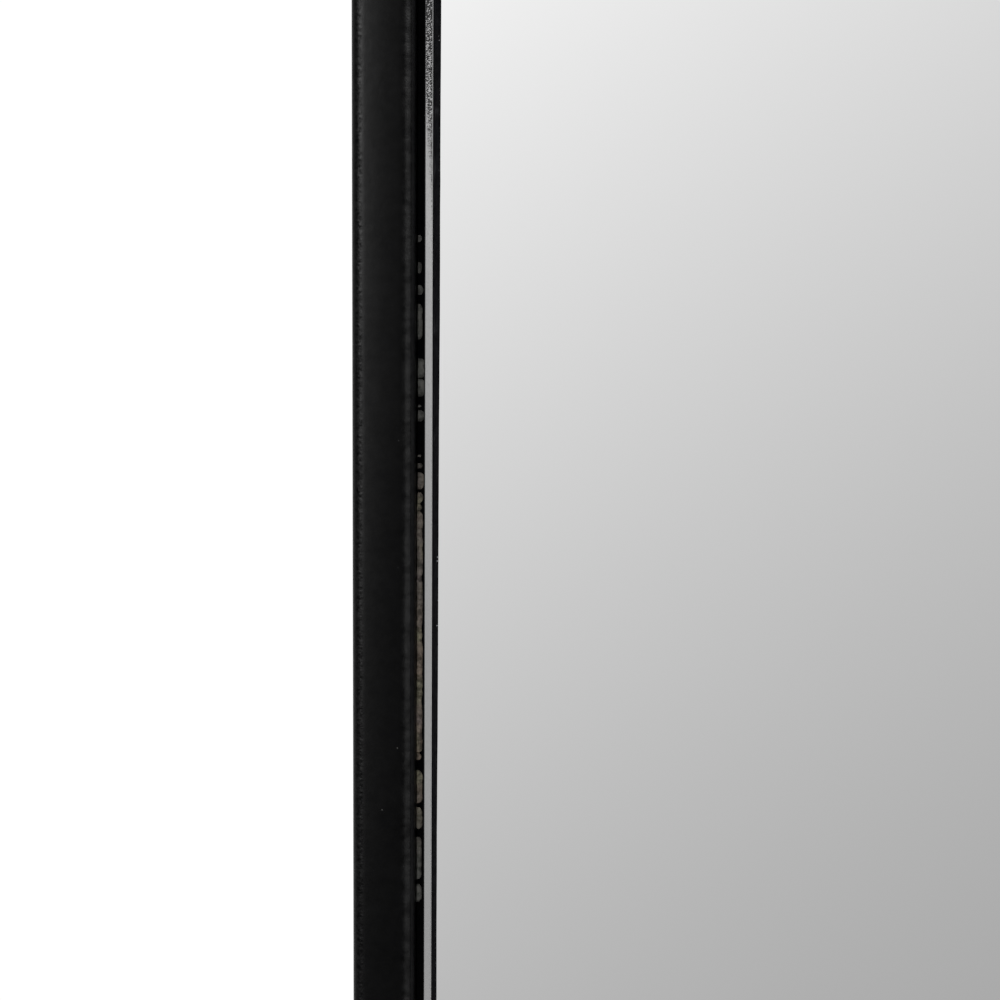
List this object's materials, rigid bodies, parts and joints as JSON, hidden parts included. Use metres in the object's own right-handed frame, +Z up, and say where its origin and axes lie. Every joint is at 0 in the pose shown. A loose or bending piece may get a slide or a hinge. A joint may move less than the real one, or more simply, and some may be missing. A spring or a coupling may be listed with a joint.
{
  "type": "leaning floor mirror",
  "caption": "Tall rectangular leaning floor mirror in a rounded black metal frame with a shadow gap and a bevelled inner bead, with hanging rings, wall bumpers and foot pads.",
  "frame": {"origin": "on the floor, in the middle of the object's width and depth", "axes": "+Z up along the mirror's height, +X to the right as seen by someone looking into the mirror, which faces -Y"},
  "size_m": [0.8, 0.046, 1.8],
  "materials": {
    "frame_coat": "satin black powder coat with a fine orange peel, on an aluminium profile",
    "bead_coat": "semi-gloss black powder coat with a fine sandy texture, on an aluminium strip",
    "mirror": "silvered float glass",
    "sealant": "black silicone, hand run",
    "foam_tape": "grey-white double-sided foam tape",
    "backing": "bare fibreboard with a fine fibre fleck",
    "brace": "mill finish flat bar",
    "corner_keys": "die-cast zinc",
    "zinc_plate": "bright zinc plated steel",
    "black_screws": "black zinc plated steel",
    "rubber": "matt moulded rubber"
  },
  "bodies": {
    "frame": {"stile_left": "frame_coat", "stile_right": "frame_coat", "rail_top": "frame_coat", "rail_bottom": "frame_coat", "corner_key_top_left": "corner_keys", "corner_key_top_right": "corner_keys", "corner_key_bottom_left": "corner_keys", "corner_key_bottom_right": "corner_keys", "bead_left": "bead_coat", "glass_seal_left": "sealant", "bead_right": "bead_coat", "glass_seal_right": "sealant", "bead_top": "bead_coat", "glass_seal_top": "sealant", "bead_bottom": "bead_coat", "glass_seal_bottom": "sealant", "mirror_glass": "mirror", "mounting_tape_left": "foam_tape", "mounting_tape_centre": "foam_tape", "mounting_tape_right": "foam_tape", "backing_board": "backing", "back_brace": "brace", "panel_screw_left_lower": "black_screws", "panel_screw_left_upper": "black_screws", "panel_screw_right_lower": "black_screws", "panel_screw_right_upper": "black_screws", "panel_screw_top_left": "black_screws", "panel_screw_top_right": "black_screws", "panel_screw_bottom_left": "black_screws", "panel_screw_bottom_right": "black_screws", "key_screw_top_left_stile": "black_screws", "key_screw_top_right_stile": "black_screws", "key_screw_top_left_rail": "black_screws", "key_screw_top_right_rail": "black_screws", "key_screw_bottom_left_stile": "black_screws", "key_screw_bottom_right_stile": "black_screws", "key_screw_bottom_left_rail": "black_screws", "key_screw_bottom_right_rail": "black_screws", "brace_screw_left_lower": "black_screws", "brace_screw_left_upper": "black_screws", "brace_screw_right_lower": "black_screws", "brace_screw_right_upper": "black_screws", "hanger_screw_left_upper": "zinc_plate", "hanger_screw_left_lower": "zinc_plate", "hanger_screw_right_upper": "zinc_plate", "hanger_screw_right_lower": "zinc_plate", "hanger_strap_left": "zinc_plate", "hanger_strap_right": "zinc_plate", "wall_bumper_top_left": "rubber", "wall_bumper_top_right": "rubber", "wall_bumper_bottom_left": "rubber", "wall_bumper_bottom_right": "rubber", "foot_pad_left": "rubber", "foot_pad_right": "rubber"},
    "ring_left": {"hanger_ring_left": "zinc_plate"},
    "ring_right": {"hanger_ring_right": "zinc_plate"}
  },
  "joints": [
    {"name": "ring_left_swing", "type": "hinge", "parent": "frame", "child": "ring_left", "pos_m": [-0.3875, 0.0181, 1.48], "axis": [1, 0, 0], "range_deg": [0, 175]},
    {"name": "ring_right_swing", "type": "hinge", "parent": "frame", "child": "ring_right", "pos_m": [0.3875, 0.0181, 1.48], "axis": [1, 0, 0], "range_deg": [0, 175]}
  ]
}
